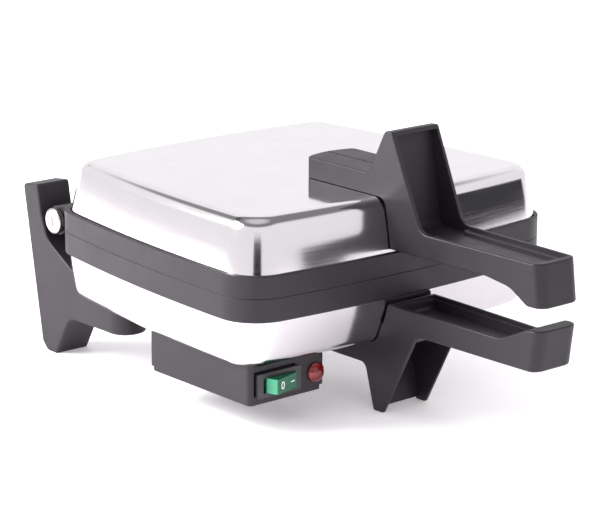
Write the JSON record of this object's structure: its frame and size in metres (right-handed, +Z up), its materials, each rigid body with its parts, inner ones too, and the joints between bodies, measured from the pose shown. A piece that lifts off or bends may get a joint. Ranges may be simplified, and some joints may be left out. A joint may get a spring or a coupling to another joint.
{
  "type": "electric waffle maker",
  "caption": "Countertop electric waffle maker with a hinged lid: steel shells, studded baking plates, tray-shaped handles that double as stand, rear post brackets, rocker switch and pilot lamp.",
  "frame": {"origin": "on the ground, under the middle of the object's bounding box", "axes": "+Z up, the handles and the switch face -Y, the hinge is towards +Y, +X is the user's right"},
  "size_m": [0.2376, 0.3658, 0.1659],
  "materials": {
    "polished_steel": "pressed stainless steel, polished to a soft mirror",
    "phenolic": "compression-moulded dark grey phenolic, fine satin",
    "coated_aluminium": "cast aluminium with a dark non-stick coat",
    "plated_steel": "zinc-plated screws",
    "nickel_plate": "turned steel, nickel-plated, knurled edge",
    "heater_sheath": "tubular heater sheath, heat-tinted",
    "sheet_steel": "bare pressed steel sheet",
    "aluminised_sheet": "aluminised steel sheet",
    "steatite": "fired steatite ceramic, opaque",
    "black_nylon": "moulded black nylon",
    "green_rocker": "tinted translucent polycarbonate, glossy",
    "red_lens": "tinted clear polycarbonate, glossy",
    "gland_rubber": "moulded rubber cord bush"
  },
  "bodies": {
    "base": {"lower_shell": "polished_steel", "lower_rim": "phenolic", "lower_handle": "phenolic", "lower_baking_plate": "coated_aluminium", "lower_plate_screws": "plated_steel", "lower_plate_nuts": "plated_steel", "lower_heater": "heater_sheath", "lower_heater_clamps": "sheet_steel", "lower_reflector": "aluminised_sheet", "lower_reflector_screws": "plated_steel", "lower_handle_screws": "plated_steel", "hinge_screws": "nickel_plate", "rear_bracket_left": "phenolic", "rear_bracket_right": "phenolic", "rear_bracket_screws": "plated_steel", "thermostat": "steatite", "control_box": "phenolic", "control_box_cover": "phenolic", "control_box_screws": "plated_steel", "switch_body": "black_nylon", "lamp_lens": "red_lens", "lamp_holder": "black_nylon", "terminal_block": "steatite", "cord_gland": "gland_rubber", "lead_bushing": "steatite"},
    "lid": {"upper_shell": "polished_steel", "upper_rim": "phenolic", "upper_handle": "phenolic", "upper_baking_plate": "coated_aluminium", "upper_plate_screws": "plated_steel", "upper_plate_nuts": "plated_steel", "upper_heater": "heater_sheath", "upper_heater_clamps": "sheet_steel", "upper_reflector": "aluminised_sheet", "upper_reflector_screws": "plated_steel", "upper_handle_screws": "plated_steel", "hinge_bushes": "plated_steel"},
    "rocker": {"rocker": "green_rocker"}
  },
  "joints": [
    {"name": "lid_hinge", "type": "hinge", "parent": "base", "child": "lid", "pos_m": [0, 0.15351, 0.084], "axis": [-1, 0, 0], "range_deg": [0, 80]},
    {"name": "rocker_tilt", "type": "hinge", "parent": "base", "child": "rocker", "pos_m": [-0.0844, -0.04529, 0.0291], "axis": [0, 0, 1], "range_deg": [-30, 0]}
  ]
}
